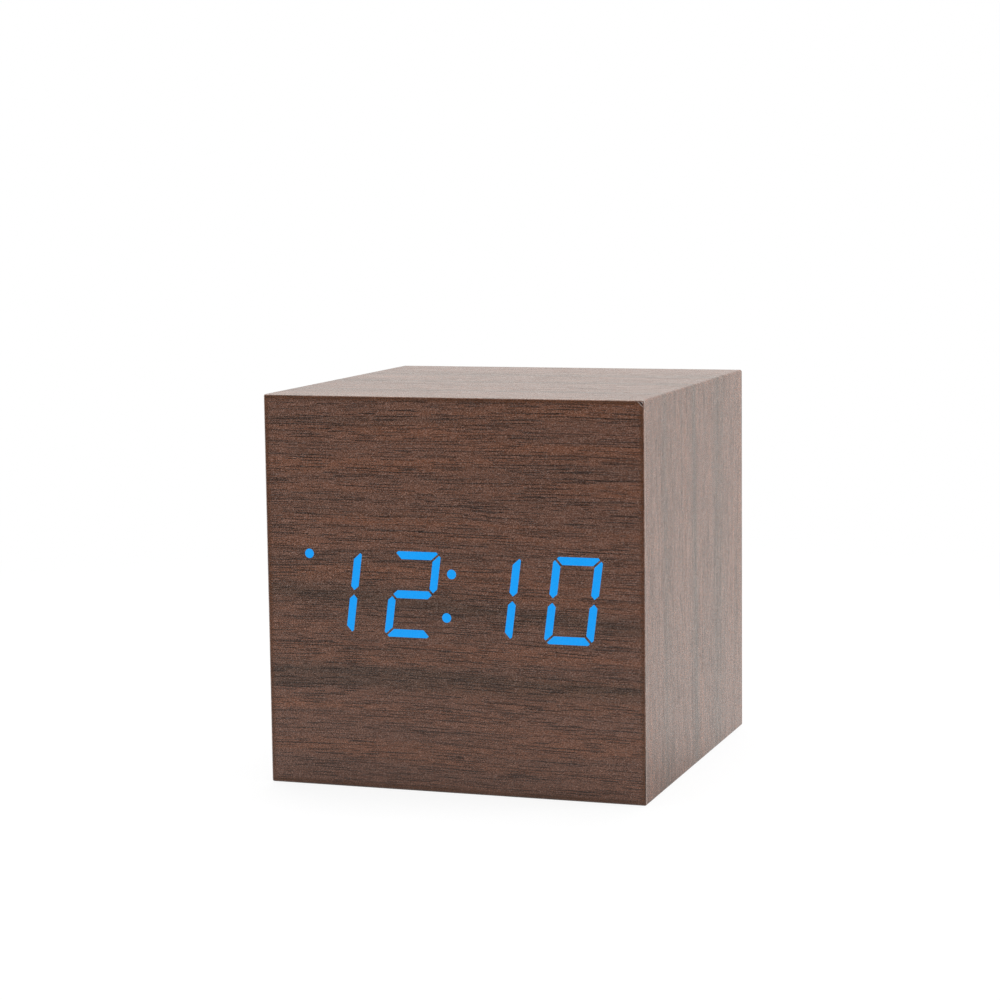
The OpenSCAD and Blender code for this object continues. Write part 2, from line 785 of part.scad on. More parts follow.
module switch_plunger(x) color("#4a4a4d")
    bar_y(x, button_z, plunger_y, plunger_stand + plunger_in, plunger_d);

// A cap with a retaining flange inside the back and a rounded rim outside it
module button_cap(x) color(black_plastic)
    translate([x, cap_foot_y, button_z]) rotate([-90, 0, 0])
        rotate_extrude() {
            square([flange_cap_d / 2, flange_cap_t]);
            square([cap_d / 2, cap_top - cap_round]);
            square([cap_d / 2 - cap_round, cap_top]);
            translate([cap_d / 2 - cap_round, cap_top - cap_round])
                intersection() {
                    circle(cap_round);
                    square(cap_round);
                }
        }
cap_top = back_y + cap_proud - cap_foot_y;

socket_bore = plug_d + 2 * plug_clear;

module dc_socket() color(black_plastic)
    difference() {
        union() {
            block_y([0, socket_z], control_back_y, socket_block);
            bar_y(0, socket_z, control_back_y, nose_y - control_back_y, nose_d);
        }
        bar_y(0, socket_z, nose_y - plug_depth, plug_depth + cut, socket_bore);
        translate([0, nose_y, socket_z]) rotate([90, 0, 0])
            cylinder(d1 = socket_bore + 2 * mouth_flare, d2 = socket_bore, h = mouth_flare);
    }

module dc_socket_pin() color(nickel)
    bar_y(0, socket_z, nose_y - plug_depth, plug_depth - pin_recess, plug_pin_d);

module board_spacers() color("#e8e6df")
    control_screw_places()
        difference() {
            bar_y(0, 0, control_back_y, in_y - control_back_y, spacer_d);
            bar_y(0, 0, control_back_y - cut, in_y - control_back_y + 2 * cut, post_hole_d);
        }

module control_screws() color(nickel)
    control_screw_places() {
        bar_y(0, 0, control_front_y - screw_head_t, screw_head_t, screw_head_d);
        bar_y(0, 0, control_front_y, in_y - control_front_y + screw_bite, screw_d);
    }

// Battery tray, contacts, cells and door

function cell_x(i) = (i - (cell_count - 1) / 2) * cell_pitch;
// Even cells point their nub forwards and odd ones backwards
function nub_side(i) = i % 2 == 0 ? -1 : 1;

module tray_shell() {
    translate([0, 0, base_recess]) linear_extrude(flange_t) rounded_rect(flange_w, flange_l, flange_r);
    translate([-tray_w / 2, -tray_l / 2, base_recess]) cube([tray_w, tray_l, cell_z - base_recess]);
    for (i = [0:cell_count - 1])
        bar_y(cell_x(i), cell_z, -tray_l / 2, tray_l, 2 * (trough_r + tray_wall));
}

module battery_tray() color(black_plastic)
    difference() {
        intersection() {
            tray_shell();
            translate([0, 0, case_h / 2]) cube([flange_w, flange_l, case_h], center = true);
        }
        // Mouth that the door closes, and the space for the cells above its ledge
        translate([0, 0, base_recess - cut]) linear_extrude(cut + door_t + door_seat)
            rounded_rect(mouth_w, mouth_l, mouth_r);
        translate([-tray_in_w / 2, -tray_in_l / 2, base_recess])
            cube([tray_in_w, tray_in_l, cell_z - base_recess]);
        for (i = [0:cell_count - 1])
            bar_y(cell_x(i), cell_z, -tray_in_l / 2, tray_in_l, 2 * trough_r);
        // Slots over the door's tabs, and a nail notch by its latch
        for (x = [-tab_x, tab_x])
            translate([x - tab_w / 2 - tab_slack, axis_y - tab_l - tab_slack, axis_z])
                cube([tab_w + 2 * tab_slack, tab_l + tab_slack + ledge_w, flange_z - axis_z]);
        translate([0, mouth_l / 2, base_recess]) cylinder(r = nail_r, h = 2 * nail_depth, center = true);
        // Slots that let the tags out, and the screw holes
        for (x = [cell_x(0), cell_x(cell_count - 1)])
            translate([x - tag_w / 2 - tab_slack, tag_y - tab_slack, cell_z])
                cube([tag_w + 2 * tab_slack, plate_t + 2 * tab_slack, cell_d]);
        tray_screw_places() {
            translate([0, 0, -cut]) cylinder(d = post_hole_d, h = flange_z + 2 * cut);
            translate([0, 0, -cut]) cylinder(d = screw_head_d + 2 * screw_slack, h = cut + tray_screw_z);
        }
    }

// A pan head with a cross recess, pointing up
module tray_screws() color("#3b3b3d")
    tray_screw_places()
        difference() {
            union() {
                translate([0, 0, tray_screw_z - screw_head_t]) cylinder(d = screw_head_d, h = screw_head_t);
                translate([0, 0, tray_screw_z])
                    cylinder(d = screw_d, h = floor_z + tray_screw_tip - tray_screw_z);
            }
            for (turn = [0, 90])
                translate([0, 0, tray_screw_z - screw_head_t]) rotate([0, 0, turn])
                    cube([cross_l, cross_w, screw_head_t], center = true);
        }

// Plates in x and z: one disc for each cell, joined by a low strip under the tray's dividers
module plate_outline(cells) {
    for (i = cells) translate([cell_x(i), cell_z]) circle(plate_r);
    translate([cell_x(cells[0]), cell_z - plate_r])
        square([cell_x(cells[len(cells) - 1]) - cell_x(cells[0]), strip_h]);
}

module contact_plates() color(nickel) {
    for (i = [0:2:cell_count - 1])
        face_solid(-tray_in_l / 2, plate_t) plate_outline([i, i + 1]);
    for (i = [1:2:cell_count - 2])
        face_solid(tag_y, plate_t) plate_outline([i, i + 1]);
    for (i = [0, cell_count - 1])
        face_solid(tag_y, plate_t) {
            translate([cell_x(i), cell_z]) circle(plate_r);
            translate([cell_x(i) - tag_w / 2, cell_z]) square([tag_w, tag_top - cell_z]);
        }
}

// A round tube of rings along points, each ring square to the way that the points run
function unit(v) = v / norm(v);
function heading(points, i) = unit(points[min(i + 1, len(points) - 1)] - points[max(i - 1, 0)]);
function ring(centre, along, reference, r, sides) = let (
    u = unit(cross(reference, along)), v = cross(along, u)
) [for (k = [0:sides - 1]) centre + r * (cos(360 * k / sides) * u + sin(360 * k / sides) * v)];
function tube_faces(rings, sides) = [
    [for (k = [sides - 1:-1:0]) k],
    for (i = [0:rings - 2], k = [0:sides - 1]) let (a = i * sides + k, b = i * sides + (k + 1) % sides)
        each [[a, b, b + sides], [a, b + sides, a + sides]],
    [for (k = [0:sides - 1]) (rings - 1) * sides + k],
];

module tube(points, headings, reference, r, sides) {
    polyhedron(
        points = [for (i = [0:len(points) - 1]) each ring(points[i], headings[i], reference, r, sides)],
        faces = tube_faces(len(points), sides));
}

// A conical spring along Z from its plate to the cell's end
spring_rise = spring_l - 2 * spring_gap - spring_wire;
spring_rings = spring_turns * spring_steps;
function spring_point(share) = let (
    r = spring_base_r + (spring_tip_r - spring_base_r) * share, turn = 360 * spring_turns * share
) [r * cos(turn), r * sin(turn), spring_gap + spring_wire / 2 + spring_rise * share];

module conical_spring() {
    points = [for (i = [0:spring_rings]) spring_point(i / spring_rings)];
    tube(points, [for (i = [0:spring_rings]) heading(points, i)], [0, 0, 1], spring_wire / 2, spring_sides);
}

module contact_springs() color(nickel)
    for (i = [0:cell_count - 1])
        translate([cell_x(i), -nub_side(i) * (tray_in_l / 2 - plate_t), cell_z])
            rotate([-nub_side(i) * 90, 0, 0]) conical_spring();

// Least space between neighbouring turns of a spring
spring_near = min([for (i = [0:spring_rings - spring_steps])
    norm(spring_point((i + spring_steps) / spring_rings) - spring_point(i / spring_rings))]) - spring_wire;
echo(spring_turn_gap = spring_near);

// A cell lies along Y with its nub on the plate and its flat end on the spring
module battery_cells() color("#3f7f4f")
    for (i = [0:cell_count - 1])
        translate([cell_x(i), nub_side(i) * (tray_in_l / 2 - plate_t), cell_z])
            rotate([nub_side(i) * 90, 0, 0])
                rotate_extrude() {
                    square([nub_d / 2, nub_l + cell_neck]);
                    translate([0, nub_l]) square([cell_d / 2 - cell_neck, cell_l - nub_l]);
                    translate([0, nub_l + cell_neck]) square([cell_d / 2, cell_l - nub_l - 2 * cell_neck]);
                    for (y = [nub_l + cell_neck, cell_l - cell_neck])
                        translate([cell_d / 2 - cell_neck, y]) circle(cell_neck);
                }

door_w = mouth_w - 2 * door_clear;
door_front = axis_y + door_clear;
door_back = mouth_l / 2 - door_clear;
door_top = base_recess + door_t;
grip_pitch = grip_l / grip_count;

module battery_door() color("#222223")
    difference() {
        union() {
            // Plate, with its front lower edge cut back so that it can rock out on its tabs
            intersection() {
                rotate([90, 0, 90]) linear_extrude(door_w, center = true)
                    polygon([[door_heel, base_recess], [door_back, base_recess], [door_back, door_top],
                        [door_front, door_top], [door_front, tab_z], [door_heel, tab_z]]);
                linear_extrude(flange_z) rounded_rect(door_w, mouth_l - 2 * door_clear, mouth_r);
            }
            for (x = [-tab_x, tab_x])
                translate([x - tab_w / 2, axis_y - tab_l, tab_z])
                    cube([tab_w, tab_l + door_heel - axis_y, door_top - tab_z]);
            for (i = [0:cell_count - 2])
                translate([(cell_x(i) + cell_x(i + 1) - rib_w) / 2, -rib_l / 2, door_top - weld])
                    cube([rib_w, rib_l, rib_h]);
        }
        // Slits that free the latch tongue, and its ribbed finger grip
        for (x = [-latch_w / 2 - latch_slit, latch_w / 2])
            translate([x, door_back - latch_l, base_recess - cut])
                cube([latch_slit, latch_l + cut, door_t + 2 * cut]);
        for (i = [0:grip_count - 1])
            translate([grip_side - latch_w / 2, door_back - grip_start - i * grip_pitch, base_recess - cut])
                cube([latch_w - 2 * grip_side, grip_pitch / 2, cut + grip_depth]);
    }

// Battery leads, from the tags of the end cells up to the control board

function smooth(a, b, c, d, t) = 0.5 * (2 * b + (c - a) * t + (2 * a - 5 * b + 4 * c - d) * t * t
    + (3 * b - a - 3 * c + d) * t * t * t);
lead_last = len(lead_points) - 1;
lead_path = [
    for (i = [0:lead_last - 1], k = [0:lead_steps - 1])
        smooth(lead_points[max(i - 1, 0)], lead_points[i], lead_points[i + 1],
            lead_points[min(i + 2, lead_last)], k / lead_steps),
    lead_points[lead_last],
];

module battery_lead(side) {
    points = [for (p = lead_path) [side * lead_x, p[0], p[1]]];
    tube(points, [for (i = [0:len(points) - 1])
        i == 0 ? [0, -1, 0] : i == len(points) - 1 ? [0, 1, 0] : heading(points, i)],
        [1, 0, 0], lead_d / 2, lead_sides);
}

top_board();
bottom_board();
side_board(-1);  // left_board
side_board(1);  // right_board
front_board();
back_board();
side_veneer();
bottom_veneer();
front_veneer();
back_veneer();
lit_segments();
diffuser_sheet();
reflector_block();
segment_leds();
display_pcb();
led_driver_chip();
display_screws();
ribbon_headers();
display_ribbon();
control_pcb();
clock_chip();
quartz_crystal();
backup_cell_holder();
backup_cell();
buzzer();
microphone();
thermistor();
tact_switches();
switch_plunger(button_x[0]);  // set_switch_plunger
switch_plunger(button_x[1]);  // up_switch_plunger
switch_plunger(button_x[2]);  // down_switch_plunger
button_cap(button_x[0]);  // set_button
button_cap(button_x[1]);  // up_button
button_cap(button_x[2]);  // down_button
dc_socket();
dc_socket_pin();
board_spacers();
control_screws();
battery_tray();
tray_screws();
contact_plates();
contact_springs();
battery_cells();
battery_door();
color("#b3261e") battery_lead(1);  // positive_lead
color("#202022") battery_lead(-1);  // negative_lead
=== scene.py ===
import math

import bpy
from mathutils import Matrix, Vector


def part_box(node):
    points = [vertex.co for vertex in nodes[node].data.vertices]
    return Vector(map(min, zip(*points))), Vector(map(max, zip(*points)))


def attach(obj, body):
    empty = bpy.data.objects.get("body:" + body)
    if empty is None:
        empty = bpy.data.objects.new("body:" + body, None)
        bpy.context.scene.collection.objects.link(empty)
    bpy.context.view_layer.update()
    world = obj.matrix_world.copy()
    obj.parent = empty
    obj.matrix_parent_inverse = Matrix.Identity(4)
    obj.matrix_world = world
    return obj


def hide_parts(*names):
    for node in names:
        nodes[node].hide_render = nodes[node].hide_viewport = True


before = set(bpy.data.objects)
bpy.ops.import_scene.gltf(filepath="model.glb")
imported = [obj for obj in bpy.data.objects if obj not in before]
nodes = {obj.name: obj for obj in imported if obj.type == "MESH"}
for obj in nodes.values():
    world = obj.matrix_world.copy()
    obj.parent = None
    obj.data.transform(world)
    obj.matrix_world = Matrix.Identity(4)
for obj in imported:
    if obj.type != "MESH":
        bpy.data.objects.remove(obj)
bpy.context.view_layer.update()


# Fibreboard box. Six boards of pressed brown wood fibre are mitred and glued into a cube.
# They stay bare inside and in the holes of the back, where the cut fibres show as a pale speckle.
class Value:
    """A socket of a material's nodes. Arithmetic on values adds Math nodes."""

    def __init__(self, socket):
        self.socket = socket

    @classmethod
    def node(cls, tree, kind, settings=None, sockets=None, output=0):
        """A new node: its settings come first, and then the values or links of its sockets."""
        made = tree.nodes.new("ShaderNode" + kind)
        for name, setting in (settings or {}).items():
            setattr(made, name, setting)
        for name, value in (sockets or {}).items():
            if isinstance(value, cls):
                tree.links.new(value.socket, made.inputs[name])
            else:
                made.inputs[name].default_value = value
        return cls(made.outputs[output]) if made.outputs else None

    def also(self, kind, settings=None, sockets=None, output=0):
        """A new node in the same material as this one."""
        return self.node(self.socket.id_data, kind, settings, sockets, output)

    def math(self, operation, *others):
        return self.also("Math", {"operation": operation}, dict(enumerate((self, *others))))

    def __add__(self, other):
        return self.math("ADD", other)

    def __sub__(self, other):
        return self.math("SUBTRACT", other)

    def __mul__(self, other):
        return self.math("MULTIPLY", other)

    def __truediv__(self, other):
        return self.math("DIVIDE", other)

    def __abs__(self):
        return self.math("ABSOLUTE")

    def __rsub__(self, other):
        return self.also("Math", {"operation": "SUBTRACT"}, {0: other, 1: self})

    def __rtruediv__(self, other):
        return self.also("Math", {"operation": "DIVIDE"}, {0: other, 1: self})

    __radd__ = __add__
    __rmul__ = __mul__

    def rise(self, low, high):
        """0 below low and 1 above high, with a smooth step between them."""
        ends = {"Value": self, "From Min": low, "From Max": high}
        return self.also("MapRange", {"interpolation_type": "SMOOTHSTEP"}, ends)

    def mix(self, first, second, blend="MIX"):
        """The first colour where this value is 0, and the second where it is 1."""
        factor, colour_a, colour_b, colour_out = 0, 6, 7, 2
        settings = {"data_type": "RGBA", "blend_type": blend}
        return self.also("Mix", settings, {factor: self, colour_a: first, colour_b: second}, colour_out)


mm_per_m = 1000


def place_mm(tree):
    """Where a point of the piece is, as x, y and z in millimetres."""
    point = Value.node(tree, "TexCoord", output="Object")
    mm = point.also("VectorMath", {"operation": "SCALE"}, {"Vector": point, "Scale": mm_per_m})
    split = mm.also("SeparateXYZ", None, {"Vector": mm})
    return [Value(socket) for socket in split.socket.node.outputs]


def clouds(places, sizes, seed=0, detail=0):
    """Noise from 0 to 1, with clouds of about these sizes in millimetres."""
    spread = {i: place / size + seed for i, (place, size) in enumerate(zip(places, sizes))}
    vector = places[0].also("CombineXYZ", None, spread)
    return vector.also("TexNoise", None, {"Vector": vector, "Scale": 1, "Detail": detail})


def bump(height, depth_mm):
    """The surface's normal, where a height of 1 stands that far above a height of 0."""
    return height.also("Bump", None, {"Height": height, "Strength": 1, "Distance": depth_mm / mm_per_m})


def material(name, recipe):
    """A material whose one shader gets its sockets from the recipe."""
    made = bpy.data.materials.new(name)
    made.use_nodes = True
    made.node_tree.nodes.clear()
    shader = Value.node(made.node_tree, "BsdfPrincipled", None, recipe(made.node_tree))
    shader.also("OutputMaterial", None, {"Surface": shader})
    return made


def dress(finish, *names):
    """Gives CAD nodes a material."""
    for name in names:
        for slot in nodes[name].material_slots:
            slot.material = finish


def fibreboard(tree):
    brown, straw = (0.26, 0.155, 0.08, 1), (0.45, 0.3, 0.17, 1)
    place = place_mm(tree)
    fibres = clouds(place, (1.1, 1.1, 0.4), detail=3)
    flecks = clouds(place, (0.22, 0.22, 0.22), seed=4, detail=1)
    tone = (fibres * 0.65 + flecks * 0.35).rise(0.36, 0.64)
    return {
        "Base Color": tone.mix(brown, straw),
        "Roughness": flecks * 0.2 + 0.75,
        "Specular IOR Level": 0.2,
        "Normal": bump(flecks, depth_mm=0.08),
    }


dress(material("fibreboard", fibreboard),
      "top_board", "bottom_board", "left_board", "right_board", "front_board", "back_board")


# Wood-grain film. One printed plastic strip is folded over the left, top and right, and flat sheets
# cover the front, back and base. It is satin, with fine dark pores pressed into the print.
def dashes(along, fibre, pitch, length, width, seed):
    """Dark dashes of about this length and width, in rows that wander along the fibres."""
    wander_length, row_step, soft = 14, 0.137, 0.04
    row = fibre / pitch
    index = row.math("FLOOR")
    wander = clouds((along, index), (wander_length, row_step), seed) - 0.5
    printed = clouds((along, index), (length, row_step), seed + 3.1).rise(0.5, 0.56)
    off = abs(row - index - 0.5 - wander)
    return (width / pitch / 2 - off).rise(-soft, soft) * printed


def film(name, lay, bands, seed, rim=None):
    """
    Film whose fibres run as lay says. Each band is the place, slope, half width and depth of a dark
    streak, or of a pale one where its depth is below 0.
    """
    chestnut, russet = (0.13, 0.057, 0.0353, 1), (0.168, 0.0618, 0.0297, 1)
    umber, ink = (0.0603, 0.0339, 0.0213, 1), (0.025, 0.0088, 0.0036, 1)
    # The colour of the painted glints, which stand in for the satin face's small highlights
    painted_glint = (0.125, 0.13, 0.13, 1)
    line_pitch, line_length, line_width = 0.47, 7, 0.155
    pore_pitch, pore_length, pore_width = 0.34, 3, 0.12
    most_umber, most_ink, least_shade = 0.85, 0.95, 0.1

    def recipe(tree):
        place = place_mm(tree)
        along, across = lay(*place)
        sway = clouds((along, across), (58, 24), seed) - 0.5
        ripple = clouds((along, across), (13, 5), seed + 2.3) - 0.5
        fibre = across + sway * 2 + ripple * 0.35

        # Broad bands of the print, which run from edge to edge
        tone = clouds((along, fibre), (160, 3), seed + 4.1, detail=1).rise(0.5, 0.75) * 0.28
        for centre, slope, half_width, depth in bands:
            off = (fibre - centre - along * slope) / half_width
            tone = tone + depth / (off * off + 1)
        warmth = clouds((along, fibre), (70, 3), seed + 6.7, detail=1).rise(0.45, 0.7)
        streaks = clouds((along, fibre), (40, 1), seed + 8.2, detail=1) - 0.5
        colour = (warmth * 0.6).mix(chestnut, russet)
        darker = (tone - streaks * 0.35).math("MINIMUM", most_umber).math("MAXIMUM", 0)
        colour = darker.mix(colour, umber)

        # Dashes of pores, strong in some places and faint in others
        crowd = (clouds((along, fibre), (14, 1.5), seed + 10.4, detail=1) + tone * 0.2).rise(0.36, 0.68)
        line = dashes(along, fibre, line_pitch, line_length, line_width, seed + 12.9) * (crowd * 0.35 + 0.65)
        pore = dashes(along, fibre, pore_pitch, pore_length, pore_width, seed + 15.2) * (crowd * 0.4 + 0.5)
        dark = line.math("MAXIMUM", pore)
        colour = (dark * most_ink).mix(colour, ink)

        # Fine fibres, the stipple of the embossed face and its faint unevenness, and painted glints: pale
        # neutral specks added on the stipple's light flecks
        hair = clouds((along, fibre), (4.5, 0.17), seed + 21.8) - 0.5
        x, y, z = place
        turned = x * 0.8 + y * 0.36 + z * 0.48, y * 0.48 + z * 0.64 - x * 0.6, z * 0.6 - y * 0.8
        stipple = clouds(turned, (0.2, 0.2, 0.2), seed + 17.6) - 0.5
        peel = clouds(turned, (0.6, 0.6, 0.6), seed + 25.3, detail=1) - 0.5
        shade = hair * 0.5 + streaks * 0.3 + stipple * 0.9 + peel * 0.2 + 0.99
        shade = shade.math("MAXIMUM", least_shade)
        colour = colour.also("VectorMath", {"operation": "SCALE"}, {"Vector": colour, "Scale": shade})
        # Painted glints: a pale neutral colour is added where the stipple is high, standing in for
        # highlights on the embossed face
        colour = stipple.math("MAXIMUM", 0).mix(colour, painted_glint, "ADD")
        if rim:
            colour = rim(*place, colour)
        return {
            "Base Color": colour,
            "Roughness": stipple * 0.2 + peel * 0.2 - streaks * 0.1 + hair * 0.1 + dark * 0.1 + 0.25,
            "IOR": 1.6,
            "Normal": bump(stipple * 4 + hair * 0.4 - dark * 0.6, depth_mm=0.012),
        }

    return material(name, recipe)


half_case, film_edge = 31, 30.75


def sheet_rim(x, y, z, colour):
    """A cut sheet is a little darker and redder along its edge, where the glue has soaked in."""
    soaked = (0.08, 0.025, 0.006, 1)
    reach = abs(x).math("MAXIMUM", abs(z - half_case))
    return (reach.rise(film_edge - 0.9, film_edge - 0.1) * 0.7).mix(colour, soaked)


def front_rim(x, y, z, colour):
    """
    The front sheet's upper right corner has lifted by the fold. Its pale cut edge shows there, and
    then a painted shadow in the gap under it, with the strip's own edge beyond it.
    """
    # gap is a painted shadow, the dark shade under the lifted corner; the other two colours are pale cut
    # edges
    gap, strip_edge, cut_edge = (0.03, 0.009, 0.008, 1), (0.3, 0.25, 0.23, 1), (0.4, 0.32, 0.28, 1)
    lifted = 0.8
    past = x + z - (2 * film_edge + half_case - lifted)
    colour = past.rise(-0.05, 0.05).mix(sheet_rim(x, y, z, colour), gap)
    colour = past.rise(0.42, 0.5).mix(colour, strip_edge)
    return ((0.11 - abs(past)).rise(0, 0.06) * 0.7).mix(colour, cut_edge)


def strip_rim(x, y, z, colour):
    """The strip's cut edges show the pale core of the film, paler on the front half, and paler still along
    the top with a painted highlight.
    """
    core, top = (0.55, 0.48, 0.44, 1), 2 * half_case
    inset = half_case - abs(y)
    edge = (1 - inset.rise(0.22, 0.27)) * inset.rise(0.07, 0.12)
    # Painted highlight: the edge is made paler along the top, where light falls from above, and paler on the
    # front half than on the back
    worn = (z.rise(top - 0.5, top - 0.2) * 0.2 + 0.4) * (1 - y.rise(0, 1) * 0.5)
    return (edge * worn).mix(colour, core)


def level_grain(x, y, z):
    """Fibres that run from side to side of an upright face."""
    return x, z


def folded_grain(x, y, z):
    """Fibres that run up a side and on across the top."""
    return x + x.math("SIGN") * (2 * half_case - z), y


front_bands = [(29, -0.065, 1.4, 0.6), (18, -0.02, 0.9, 0.35), (16.5, 0, 1.8, 0.3),
               (6, 0, 5, -0.24), (48, 0, 10, 0.08)]
back_bands = [(46, 0.03, 1.6, 0.45), (38, 0, 0.8, 0.25), (13, -0.03, 2.5, 0.4)]
base_bands = [(8, 0, 3, 0.5)]
side_bands = [(-19, 0, 1.5, 0.55), (-2, 0.01, 1.6, 0.6), (13, 0, 2.2, 0.6)]
dress(film("front_film", level_grain, front_bands, 2.7, front_rim), "front_veneer")
dress(film("back_film", level_grain, back_bands, 61.3, sheet_rim), "back_veneer")
dress(film("base_film", lambda x, y, z: (x, y), base_bands, 83.1), "bottom_veneer")
dress(film("side_film", folded_grain, side_bands, 37.9, strip_rim), "side_veneer")


# Glowing segments. Light from behind fills these patches of the front film with an even blue.
# The film's own stipple barely shows through it.
def lit_film(tree):
    unlit = (0.004, 0.006, 0.01, 1)
    deep_blue, bright_blue = (0.003, 0.324, 0.89, 1), (0.004, 0.344, 0.93, 1)
    stipple = clouds(place_mm(tree), (0.35, 0.35, 0.35), seed=5, detail=1)
    return {
        "Base Color": unlit,
        "Emission Color": stipple.rise(0.2, 0.8).mix(deep_blue, bright_blue),
        "Emission Strength": 1,
        "Roughness": stipple * 0.16 + 0.2,
        "IOR": 1.45,
        "Normal": bump(stipple, depth_mm=0.01),
    }


dress(material("lit_film", lit_film), "lit_segments")


# Display stack. A white moulded block of light wells sits in the front board's pocket, behind a thin
# diffuser, and is screwed on through the display board. The control board's spacers are the same plastic.
def white_plastic(tree):
    ivory, white = (0.74, 0.73, 0.68, 1), (0.82, 0.81, 0.78, 1)
    place = place_mm(tree)
    grain = clouds(place, (0.4, 0.4, 0.4), seed=3, detail=2)
    flow = clouds(place, (14, 9, 5), seed=8, detail=1)
    return {
        "Base Color": flow.rise(0.3, 0.7).mix(ivory, white),
        "Roughness": grain * 0.2 + 0.34,
        "Normal": bump(grain, depth_mm=0.01),
    }


dress(material("white_plastic", white_plastic), "diffuser_sheet", "reflector_block", "board_spacers")


def box_mm(name):
    """A node's lowest and highest corners at rest, in millimetres."""
    return [corner * mm_per_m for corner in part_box(name)]


def led_chip(tree):
    cup, resin = (0.78, 0.77, 0.7, 1), (0.5, 0.58, 0.35, 1)
    place = place_mm(tree)
    wisps = clouds(place, (0.5, 0.3, 0.5), seed=11, detail=2)
    low, high = box_mm("segment_leds")
    lens = (1 - (place[1] - low.y) / (high.y - low.y)).rise(0.55, 0.75)
    return {
        "Base Color": lens.mix(cup, resin),
        "Roughness": 0.42 - lens * 0.26 + wisps * 0.1,
        "Normal": bump(wisps, depth_mm=0.01),
    }


dress(material("led_chip", led_chip), "segment_leds")


# Circuit boards. Green lacquer over copper tracks on glass fibre, with bare tinned rings round the
# screw holes. The display board is screwed to the block, the control board to spacers on the back.
def circuit_board(hole_x, hole_z):
    """A board with screw holes at these distances from its middle and these heights."""
    green, over_track, in_weave = (0.008, 0.085, 0.033, 1), (0.02, 0.17, 0.055, 1), (0.004, 0.05, 0.02, 1)
    tin = (0.72, 0.7, 0.66, 1)
    track_pitch, track_half, ring_r_squared = 1.27, 0.27, 5.3

    def recipe(tree):
        x, y, z = place_mm(tree)
        weave = clouds((x, y, z), (0.5, 0.5, 0.5), seed=2, detail=2)
        patch = clouds((x, y, z), (9, 9, 2.5), seed=21)
        turn = clouds((x, y, z), (6, 6, 6), seed=31).rise(0.49, 0.51)
        count = (x * turn + z * (1 - turn)) / track_pitch
        wave = abs(count.math("FRACT") - 0.5)
        track = (track_half - wave).rise(0, 0.03) * patch.rise(0.4, 0.44)
        ring_x = abs(x) - hole_x
        rings = [ring_x * ring_x + (z - at) * (z - at) for at in hole_z]
        ring = (ring_r_squared - rings[0].math("MINIMUM", rings[1])).rise(0, 0.15)
        colour = (weave.rise(0.35, 0.7) * 0.25).mix(track.mix(green, over_track), in_weave)
        return {
            "Base Color": ring.mix(colour, tin),
            "Metallic": ring,
            "Roughness": weave * 0.12 + 0.22 + ring * 0.1,
            "Normal": bump(track * 0.8 + weave * 0.2 + ring, depth_mm=0.03),
        }

    return recipe


screw_head_r = 1.7
for board, screws in (("display_pcb", "display_screws"), ("control_pcb", "control_screws")):
    low, high = box_mm(screws)
    holes = high.x - screw_head_r, (low.z + screw_head_r, high.z - screw_head_r)
    dress(material(board + "_lacquer", circuit_board(*holes)), board)


# Chips. Black moulded bodies with a dimple at the first lead and rows of tinned leads, soldered
# down: the LED driver on the back of the display board, and the clock chip on the control board.
def chip_body(name, half_body, half_length):
    """A chip whose body has this half width and half length. Its leads stand out beyond the width."""
    resin, worn_resin, tin = (0.011, 0.011, 0.012, 1), (0.026, 0.026, 0.028, 1), (0.74, 0.73, 0.7, 1)
    from_end, from_side, dimple_r = 1.4, 1.5, 0.6
    low, high = box_mm(name)
    centre = (low + high) / 2

    def recipe(tree):
        x, y, z = place_mm(tree)
        grit = clouds((x, y, z), (0.18, 0.18, 0.18), seed=6, detail=2)
        lead = abs(z - centre.z).rise(half_body, half_body + 0.02)
        mark_x = x - centre.x + half_length - from_end
        mark_z = z - centre.z - half_body + from_side
        dimple = (dimple_r ** 2 - mark_x * mark_x - mark_z * mark_z).rise(0, 0.1)
        return {
            "Base Color": lead.mix(grit.rise(0.3, 0.7).mix(resin, worn_resin), tin),
            "Metallic": lead,
            "Roughness": (0.62 - lead * 0.34 - dimple * 0.3) + grit * 0.12,
            "Normal": bump(grit * 0.25 - dimple * 3, depth_mm=0.05),
        }

    return material(name + "_body", recipe)


for chip, half_body, half_length in (("led_driver_chip", 3.75, 6.4), ("clock_chip", 3.75, 6.5)):
    dress(chip_body(chip, half_body, half_length), chip)


# Plated metal. Screws, the crystal's can, the backup cell, the socket's pin and the battery contacts
# are steel with a thin nickel plate, drawn or pressed, with fine scratches and a faint stain.
def nickel_plate(tree):
    bright, stained = (0.72, 0.69, 0.63, 1), (0.6, 0.56, 0.49, 1)
    place = place_mm(tree)
    scratch = clouds(place, (2.5, 2.5, 0.05), seed=9, detail=1)
    stain = clouds(place, (3, 3, 3), seed=12, detail=2)
    return {
        "Base Color": stain.rise(0.35, 0.7).mix(bright, stained),
        "Metallic": 1,
        "Roughness": scratch * 0.22 + stain * 0.12 + 0.14,
        "Normal": bump(scratch, depth_mm=0.004),
    }


nickel = material("nickel_plate", nickel_plate)
dress(nickel, "display_screws", "control_screws", "quartz_crystal", "backup_cell", "dc_socket_pin",
      "contact_plates")


# Ribbon cable. Ten grey wires side by side in one ridged strip, pressed into a cream header on each
# board. It hangs in a loose bend between them.
wire_pitch = 0.00127
ribbon_low, ribbon_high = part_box("display_ribbon")


def header_plastic(tree):
    cream, pale_cream = (0.73, 0.7, 0.58, 1), (0.79, 0.77, 0.67, 1)
    grain = clouds(place_mm(tree), (0.3, 0.3, 0.3), seed=14, detail=2)
    return {
        "Base Color": grain.rise(0.3, 0.7).mix(cream, pale_cream),
        "Roughness": grain * 0.2 + 0.4,
        "Normal": bump(grain, depth_mm=0.015),
    }


